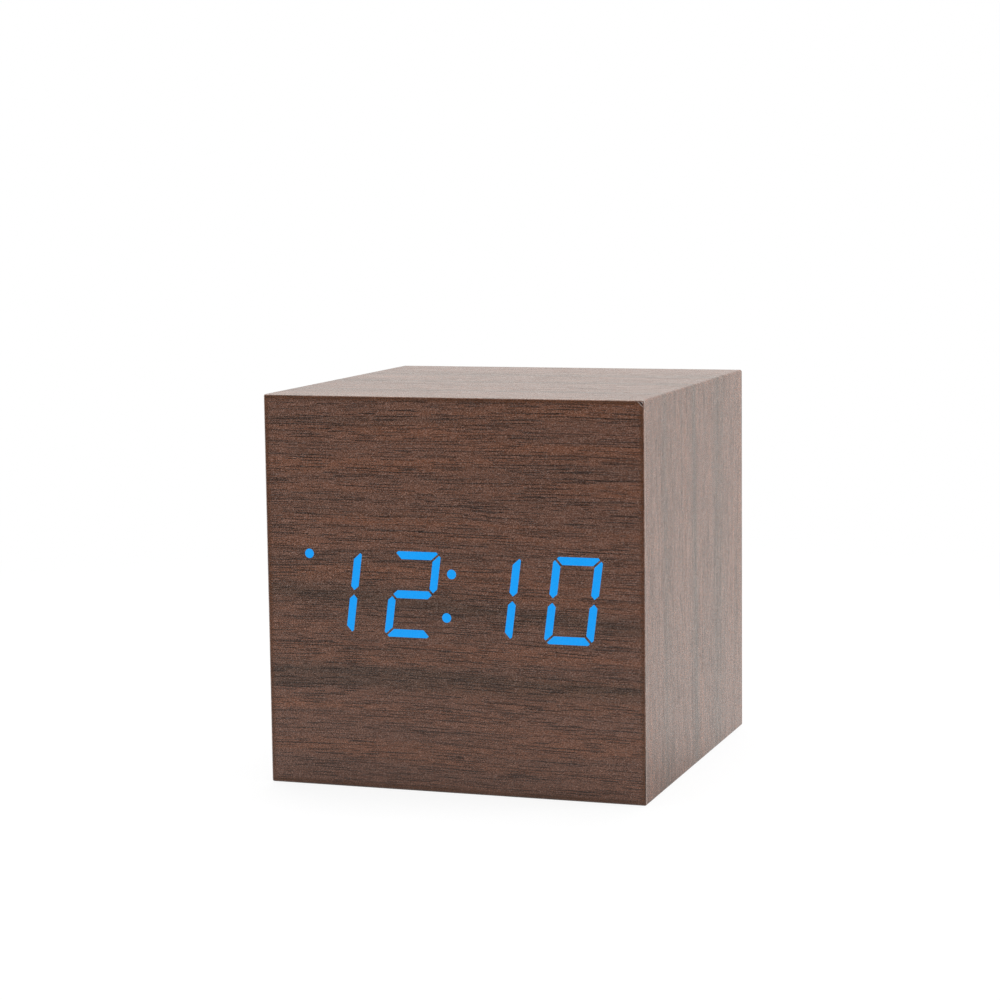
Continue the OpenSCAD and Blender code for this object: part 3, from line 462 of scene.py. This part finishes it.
def ribbon_grey(tree):
    """Grey insulation, with the first wire in red."""
    grey, pale_grey, red = (0.27, 0.28, 0.3, 1), (0.34, 0.35, 0.37, 1), (0.45, 0.03, 0.025, 1)
    place = place_mm(tree)
    grain = clouds(place, (0.25, 1.5, 1.5), seed=16, detail=1)
    first = ((ribbon_low.x + wire_pitch) * mm_per_m - place[0]).rise(-0.05, 0.05)
    return {
        "Base Color": first.mix(grain.rise(0.3, 0.7).mix(grey, pale_grey), red),
        "Roughness": grain * 0.15 + 0.42,
        "Normal": bump(grain, depth_mm=0.01),
    }


def new_piece(name, points, faces, finish, body, slot, *stands_for):
    """A smooth mesh in place on the part, which rides on a body and stands for CAD nodes."""
    mesh = bpy.data.meshes.new(name)
    mesh.from_pydata(points, [], faces)
    mesh.polygons.foreach_set("use_smooth", [True] * len(mesh.polygons))
    mesh.materials.append(finish)
    mesh.update()
    piece = bpy.data.objects.new(name, mesh)
    bpy.context.scene.collection.objects.link(piece)
    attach(piece, body)
    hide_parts(*stands_for)


def ring_faces(rings, sides, start=0):
    """Quads between rings of points, with a flat face on each end."""
    last = start + (rings - 1) * sides
    faces = [tuple(start + k for k in reversed(range(sides))), tuple(last + k for k in range(sides))]
    for i in range(rings - 1):
        for k in range(sides):
            a, b = start + i * sides + k, start + i * sides + (k + 1) % sides
            faces.append((a, b, b + sides, a + sides))
    return faces


def ribbon_line(half, bend, turn, steps):
    """Points and slopes of the ribbon's middle line: a bend down, a wide bend up and a bend level again."""
    sag = half / math.sin(turn) - bend
    drop = sag * math.cos(turn) - bend * (1 - math.cos(turn))
    angles = [turn * i / steps for i in range(steps + 1)]
    out = [(bend * math.sin(a) - half, bend * math.cos(a) - bend, -a) for a in angles]
    angles = [turn * (i / steps - 1) for i in range(1, 2 * steps)]
    low = [(sag * math.sin(a), drop - sag * math.cos(a), a) for a in angles]
    return out + low + [(-y, z, -slope) for y, z, slope in reversed(out)]


wires, wire_r, web_r, points_per_wire, roundness = 10, 0.00045, 0.00022, 8, 2.4
ribbon_middle = (ribbon_low + ribbon_high) / 2
upper_side = []
for i in range(wires * points_per_wire + 1):
    share = i / points_per_wire
    thick = max(web_r, wire_r * math.sqrt(max(0, 1 - (roundness * (share % 1 - 0.5)) ** 2)))
    upper_side.append(((share - wires / 2) * wire_pitch, thick))
profile = upper_side + [(x, -thick) for x, thick in reversed(upper_side)]
bend_r, bend_angle, bend_steps = 0.006, math.radians(50), 12
ribbon_route = ribbon_line((ribbon_high.y - ribbon_low.y) / 2, bend_r, bend_angle, bend_steps)
ribbon_points = []
for y, z, slope in ribbon_route:
    for x, off in profile:
        ribbon_points.append((ribbon_middle.x + x, ribbon_middle.y + y - off * math.sin(slope),
                              ribbon_high.z - wire_r + z + off * math.cos(slope)))
new_piece("ribbon_cable", ribbon_points, ring_faces(len(ribbon_route), len(profile)),
          material("ribbon_grey", ribbon_grey), "case", "ribbon_grey", "display_ribbon")
dress(material("header_plastic", header_plastic), "ribbon_headers")


# Black mouldings. The battery tray and door, the power socket, the buzzer and the backup cell's holder
# are black plastic with a fine spark-eroded face, faintly scuffed where hands touch it.
def black_plastic(tree):
    black, scuffed = (0.0125, 0.0125, 0.013, 1), (0.028, 0.028, 0.029, 1)
    place = place_mm(tree)
    grain = clouds(place, (0.22, 0.22, 0.22), seed=18, detail=2)
    scuff = clouds(place, (5, 1.2, 3), seed=24, detail=3).rise(0.56, 0.78)
    return {
        "Base Color": (scuff * 0.7).mix(black, scuffed),
        "Roughness": grain * 0.24 + 0.36 - scuff * 0.1,
        "Specular IOR Level": 0.4,
        "Normal": bump(grain, depth_mm=0.03),
    }


dress(material("black_plastic", black_plastic),
      "battery_tray", "battery_door", "dc_socket", "buzzer", "backup_cell_holder")


# Tact switches. Black square bodies with a steel cover crimped over them and four tinned legs, soldered
# to the back of the control board. A grey plunger in each is pushed by a cap.
def tact_switch(tree):
    black, steel = (0.014, 0.014, 0.015, 1), (0.66, 0.65, 0.62, 1)
    cover_t, leg_reach, soft = 0.3, 0.75, 0.02
    low, high = box_mm("tact_switches")
    x, y, z = place_mm(tree)
    grain = clouds((x, y, z), (0.4, 0.4, 0.05), seed=27, detail=1)
    cover = y.rise(high.y - cover_t - soft, high.y - cover_t + soft)
    leg = (leg_reach - (y - low.y)).rise(0, soft)
    metal = cover.math("MAXIMUM", leg)
    return {
        "Base Color": metal.mix(black, steel),
        "Metallic": metal,
        "Roughness": grain * 0.16 + 0.4 - metal * 0.14,
        "Normal": bump(grain, depth_mm=0.008),
    }


def switch_grey(tree):
    dark_grey, grey = (0.055, 0.055, 0.058, 1), (0.085, 0.085, 0.09, 1)
    grain = clouds(place_mm(tree), (0.2, 0.2, 0.2), seed=29, detail=2)
    return {
        "Base Color": grain.rise(0.3, 0.7).mix(dark_grey, grey),
        "Roughness": grain * 0.2 + 0.4,
        "Normal": bump(grain, depth_mm=0.01),
    }


dress(material("tact_switch", tact_switch), "tact_switches")
dress(material("switch_grey", switch_grey), "set_switch_plunger", "up_switch_plunger", "down_switch_plunger")


# Small parts of the control board: a drawn aluminium microphone can, and a thermistor bead dipped
# in blue lacquer, both soldered to its back.
def bare_aluminium(tree):
    dull, bright = (0.66, 0.66, 0.67, 1), (0.76, 0.76, 0.77, 1)
    drawn = clouds(place_mm(tree), (0.06, 3, 0.06), seed=33, detail=1)
    return {
        "Base Color": drawn.rise(0.3, 0.7).mix(dull, bright),
        "Metallic": 1,
        "Roughness": drawn * 0.2 + 0.25,
        "Normal": bump(drawn, depth_mm=0.006),
    }


def thermistor_blue(tree):
    thick_blue, thin_blue = (0.018, 0.075, 0.2, 1), (0.04, 0.13, 0.3, 1)
    dip = clouds(place_mm(tree), (0.8, 0.8, 0.8), seed=36, detail=2)
    return {
        "Base Color": dip.rise(0.3, 0.7).mix(thick_blue, thin_blue),
        "Roughness": dip * 0.2 + 0.2,
        "Normal": bump(dip, depth_mm=0.05),
    }


dress(material("bare_aluminium", bare_aluminium), "microphone")
dress(material("thermistor_blue", thermistor_blue), "thermistor")


# Push buttons. Three round black caps stand out of holes in the back, each on its own switch. They
# are moulded, a little glossier than the tray, and polished on top by fingers.
def button_black(tree):
    black, smeared = (0.012, 0.012, 0.0125, 1), (0.02, 0.02, 0.0205, 1)
    place = place_mm(tree)
    grain = clouds(place, (0.25, 0.25, 0.25), seed=41, detail=2)
    top = place[1].rise(half_case + 0.55, half_case + 0.8)
    smear = clouds(place, (1.8, 1.8, 1.2), seed=44, detail=2).rise(0.4, 0.7)
    return {
        "Base Color": smear.mix(black, smeared),
        "Roughness": grain * 0.14 + 0.34 - top * smear * 0.16,
        "Normal": bump(grain, depth_mm=0.012),
    }


dress(material("button_black", button_black), "set_button", "up_button", "down_button")


# Tray screws. Blackened self-tapping screws with a cross recess hold the tray's flange to the base.
# The driver has rubbed the black off in places.
def black_steel(tree):
    blackened, steel = (0.03, 0.03, 0.031, 1), (0.3, 0.29, 0.28, 1)
    worn = clouds(place_mm(tree), (0.5, 0.5, 0.3), seed=47, detail=3).rise(0.5, 0.75)
    return {
        "Base Color": (worn * 0.5).mix(blackened, steel),
        "Metallic": 0.9,
        "Roughness": 0.42 - worn * 0.14,
        "Normal": bump(worn, depth_mm=0.01),
    }


dress(material("black_steel", black_steel), "tray_screws")


# Contact springs. Conical springs of plated wire press on the flat ends of the cells. They are wound
# from 0.55 mm wire and sit on the contact plates.
def heading(points, i):
    """The way that a line of points runs at one of them."""
    return (points[min(i + 1, len(points) - 1)] - points[max(i - 1, 0)]).normalized()


def tube_points(points, radius, sides, reference, ends=None):
    """Rings of points round a line, each square to the way that the line runs."""
    made = []
    for i, point in enumerate(points):
        way = ends[i] if ends and i in ends else heading(points, i)
        side = Vector(reference).cross(way).normalized()
        up = way.cross(side)
        for k in range(sides):
            turn = 2 * math.pi * k / sides
            made.append(point + radius * (math.cos(turn) * side + math.sin(turn) * up))
    return made


cells_low, cells_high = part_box("battery_cells")
cell_count, cell_d = 4, cells_high.z - cells_low.z
cell_pitch = (cells_high.x - cells_low.x - cell_d) / (cell_count - 1)
cell_x = [(i - (cell_count - 1) / 2) * cell_pitch for i in range(cell_count)]
cell_z = (cells_low.z + cells_high.z) / 2
plates_low, plates_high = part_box("contact_plates")
spring_turns, turn_steps, wire_sides, plate_t = 2.25, 32, 12, 0.0004
wire, gap, spring_length, base_r, tip_r = 0.00055, 0.00003, 0.0028, 0.0033, 0.0019
spring_points, spring_faces = [], []
for i, x in enumerate(cell_x):
    end = 1 if i % 2 == 0 else -1
    seat = Vector((x, plates_high.y - plate_t if end > 0 else plates_low.y + plate_t, cell_z))
    coil = []
    for step in range(int(spring_turns * turn_steps) + 1):
        share = step / (spring_turns * turn_steps)
        turn, r = 2 * math.pi * spring_turns * share, base_r + (tip_r - base_r) * share
        rise = gap + wire / 2 + (spring_length - 2 * gap - wire) * share
        coil.append(seat + Vector((r * math.cos(turn), -end * rise, end * r * math.sin(turn))))
    spring_faces += ring_faces(len(coil), wire_sides, len(spring_points))
    spring_points += tube_points(coil, wire / 2, wire_sides, (0, 1, 0))
new_piece("spring_wire", spring_points, spring_faces, nickel, "case", "nickel_steel", "contact_springs")


# Battery cells. Four slim dry cells lie side by side, turned end for end. Each steel can has a plain
# printed sleeve with a band by its bare positive nub.
def cell_sleeve(tree):
    can, band_grey, slate = (0.68, 0.66, 0.62, 1), (0.3, 0.31, 0.32, 1), (0.05, 0.1, 0.13, 1)
    pale_ring, ink_grey = (0.75, 0.73, 0.68, 1), (0.2, 0.2, 0.2, 1)
    band_end, ring_end, soft = 11.5, 12.4, 0.1
    pitch, radius = cell_pitch * mm_per_m, cell_d * mm_per_m / 2
    x, y, z = place_mm(tree)
    parity = ((x / pitch + cell_count / 2).math("FLOOR") / 2).math("FRACT") * 4 - 1
    from_nub = parity * y + cells_high.y * mm_per_m
    ink = clouds((x, y, z), (0.3, 1.5, 0.3), seed=52, detail=2)
    off_x = ((x / pitch).math("FRACT") - 0.5) * pitch
    off_z = z - cell_z * mm_per_m
    sleeve = (off_x * off_x + off_z * off_z).math("SQRT").rise(radius - 0.75, radius - 0.6)
    past_band = from_nub.rise(band_end, band_end + soft)
    ring = past_band * (1 - from_nub.rise(ring_end, ring_end + soft))
    colour = ring.mix(past_band.mix(band_grey, slate), pale_ring)
    colour = (ink * 0.12).mix(colour, ink_grey)
    return {
        "Base Color": sleeve.mix(can, colour),
        "Metallic": 1 - sleeve * 0.75,
        "Roughness": ink * 0.14 + 0.24,
        "Normal": bump(ink, depth_mm=0.01),
    }


dress(material("cell_sleeve", cell_sleeve), "battery_cells")


# Battery leads. A red and a black stranded lead run from the tags of the end cells up to the control
# board. Each end is stripped, tinned and soldered.
lead_route = [(23.7, 15.6), (22.4, 15.6), (21.25, 15.6), (18.8, 15.925), (16.4, 17.25), (15.8, 19.56),
              (16.4, 21.54), (17.6, 22.2), (18.8, 22.2)]
bare_end, lead_r, lead_steps, lead_sides = 0.9, 0.00065, 8, 16


def insulation(dark, light):
    """Coloured plastic, with bare tinned wire at both ends of the route."""
    tin, soft, last_run = (0.7, 0.68, 0.64, 1), 0.05, 1.2
    first_y, (last_y, last_z) = lead_route[0][0], lead_route[-1]

    def recipe(tree):
        x, y, z = place_mm(tree)
        grain = clouds((x, y, z), (0.3, 0.3, 0.3), seed=57, detail=1)
        start = y.rise(first_y - bare_end, first_y - bare_end + soft)
        stop = z.rise(last_z - last_run, last_z - last_run + soft) * y.rise(last_y - bare_end, last_y)
        bare = start.math("MAXIMUM", stop)
        return {
            "Base Color": bare.mix(grain.rise(0.3, 0.7).mix(dark, light), tin),
            "Metallic": bare,
            "Roughness": grain * 0.15 + 0.38 - bare * 0.1,
            "Normal": bump(grain, depth_mm=0.015),
        }

    return recipe


def smooth(a, b, c, d, t):
    """A point between b and c on the smooth line through four points."""
    square, cube = 2 * a - 5 * b + 4 * c - d, 3 * b - a - 3 * c + d
    return 0.5 * (2 * b + (c - a) * t + square * t * t + cube * t ** 3)


for lead, slot, side, dark, light in (
        ("positive", "red_insulation", 1, (0.34, 0.011, 0.009, 1), (0.44, 0.02, 0.015, 1)),
        ("negative", "black_insulation", -1, (0.009, 0.009, 0.0095, 1), (0.018, 0.018, 0.019, 1))):
    marks = [Vector((side * cell_x[-1], y / mm_per_m, z / mm_per_m)) for y, z in lead_route]
    last = len(marks) - 1
    line = [smooth(marks[max(i - 1, 0)], marks[i], marks[i + 1], marks[min(i + 2, last)], k / lead_steps)
            for i in range(last) for k in range(lead_steps)] + [marks[last]]
    ends = {0: Vector((0, -1, 0)), len(line) - 1: Vector((0, 1, 0))}
    lead_points = tube_points(line, lead_r, lead_sides, (1, 0, 0), ends)
    new_piece(lead + "_wire", lead_points, ring_faces(len(line), lead_sides),
              material(slot, insulation(dark, light)), "case", slot, lead + "_lead")


# Studio. A pale floor that looks white, with a faint shadow under the clock. It is open under the
# base, which the clock hides, and clear from below, so that the base can be looked at.
papers = (1, 1, 1), (1, 0.981, 0.952), (0, 0, 0)


def looked_at(tree):
    """1 for what the camera sees, straight, in a reflection or through something clear."""
    kinds = "Is Camera Ray", "Is Glossy Ray", "Is Transmission Ray"
    straight, mirrored, through = (Value.node(tree, "LightPath", output=kind) for kind in kinds)
    return straight.math("MAXIMUM", mirrored).math("MAXIMUM", through)


def stage_floor(hole, reach, drop):
    """White paper. In reflections it is dark in front of the clock and greyer behind it on the left."""
    corners = [(-1, -1), (1, -1), (1, 1), (-1, 1)]
    points = [(x * r, y * r, -drop) for r in (hole, reach) for x, y in corners]
    faces = [(i, i + 4, (i + 1) % 4 + 4, (i + 1) % 4) for i in range(4)]
    mesh = bpy.data.meshes.new("floor")
    mesh.from_pydata(points, [], faces)
    floor = bpy.data.objects.new("floor", mesh)
    bpy.context.scene.collection.objects.link(floor)
    paint = bpy.data.materials.new("floor_paint")
    paint.use_nodes = True
    tree = paint.node_tree
    tree.nodes.clear()
    seen = looked_at(tree)
    matt = Value.node(tree, "BsdfDiffuse", None, {"Color": (0.86, 0.86, 0.86, 1)})
    x, y, z = place_mm(tree)
    mirrored = matt.also("LightPath", output="Is Glossy Ray")
    ahead = (1 - y.rise(-30, 30)) * (0.97 - y.rise(-250, -30) * 0.45 - (0 - x).rise(0, 450) * 0.3)
    gloom = ahead + y.rise(30, 60) * (1 - x.rise(0, 30)) * 0.65
    white, cream, black = (matt.also("Emission", None, {"Color": (*c, 1), "Strength": 1}) for c in papers)
    flagged = matt.also("MixShader", None, {0: gloom, 1: cream, 2: black})
    paper = matt.also("MixShader", None, {0: mirrored, 1: white, 2: flagged})
    far = (x * x + y * y).math("SQRT").rise(60, 260)
    top = matt.also("MixShader", None, {0: seen * (far * 0.12 + 0.88), 1: matt, 2: paper})
    under = matt.also("NewGeometry", output="Backfacing")
    clear = matt.also("BsdfTransparent")
    both = matt.also("MixShader", None, {0: under, 1: top, 2: clear})
    both.also("OutputMaterial", None, {"Surface": both})
    mesh.materials.append(paint)


def soft_lamp(name, place, size, watts, aim):
    """A square lamp of this size, turned to its aim, which no gloss shows."""
    lamp = bpy.data.lights.new(name, "AREA")
    lamp.shape, lamp.size, lamp.energy = "SQUARE", size, watts
    made = bpy.data.objects.new(name, lamp)
    made.location = place
    made.rotation_euler = (Vector(place) - aim).to_track_quat("Z", "Y").to_euler()
    made.visible_glossy = False
    bpy.context.scene.collection.objects.link(made)


stage_floor(hole=0.0295, reach=4, drop=0.00002)
world = bpy.data.worlds.new("studio")
bpy.context.scene.world = world
world.use_nodes = True
world.node_tree.nodes.clear()
way = Value.node(world.node_tree, "TexCoord", output="Generated")
backdrop = Value(way.also("SeparateXYZ", None, {"Vector": way}).socket.node.outputs[1]).rise(-0.75, -0.1)
mirrored = way.also("LightPath", output="Is Glossy Ray")
fill, darkened = 0.55, 0.95
day = (looked_at(world.node_tree) * (1 - fill) + fill) * (1 - mirrored * (1 - backdrop) * darkened)
white, cream, black = (day.also("Background", None, {"Color": (*c, 1), "Strength": 1}) for c in papers)
light = day.also("MixShader", None, {0: mirrored, 1: white, 2: cream})
sky = day.also("MixShader", None, {0: day, 1: black, 2: light})
sky.also("OutputWorld", None, {"Surface": sky})
middle = Vector((0, 0, half_case / mm_per_m))
soft_lamp("key_lamp", (-0.25, -0.23, 0), 0.25, 0.46, middle)
soft_lamp("side_lamp", (0.7, 0.1, 0.5), 0.5, 5.6, middle)
soft_lamp("top_lamp", (-0.1, 0.25, 0.95), 0.5, 8.5, middle)
soft_lamp("under_lamp", (0.15, -0.25, -0.5), 0.4, 2.8, middle)


# Camera. It stands in front of the clock, to its right and a little above, as in the photograph.
# Slide and lift move it across its view, so that the clock sits where the photograph has it.
yaw, pitch, roll = math.radians(18.82), math.radians(7.02), math.radians(-0.71)
slide, lift, distance = -0.00256, 0.01128, 0.4372
sensor, focal_sensors = 36, 2.641
back = Vector((math.sin(yaw) * math.cos(pitch), -math.cos(yaw) * math.cos(pitch), math.sin(pitch)))
level = Vector((0, 0, 1)).cross(back).normalized()
upright = back.cross(level)
right = math.cos(roll) * level + math.sin(roll) * upright
up = back.cross(right)
lens = bpy.data.cameras.new("camera")
lens.sensor_width, lens.lens = sensor, sensor * focal_sensors
lens.clip_start, lens.clip_end = 0.01, 20
camera = bpy.data.objects.new("camera", lens)
spot = middle + slide * right + lift * up + distance * back
camera.matrix_world = Matrix.Translation(spot) @ Matrix((right, up, back)).transposed().to_4x4()
bpy.context.scene.collection.objects.link(camera)
bpy.context.scene.camera = camera
bpy.context.scene.view_settings.view_transform = "Standard"
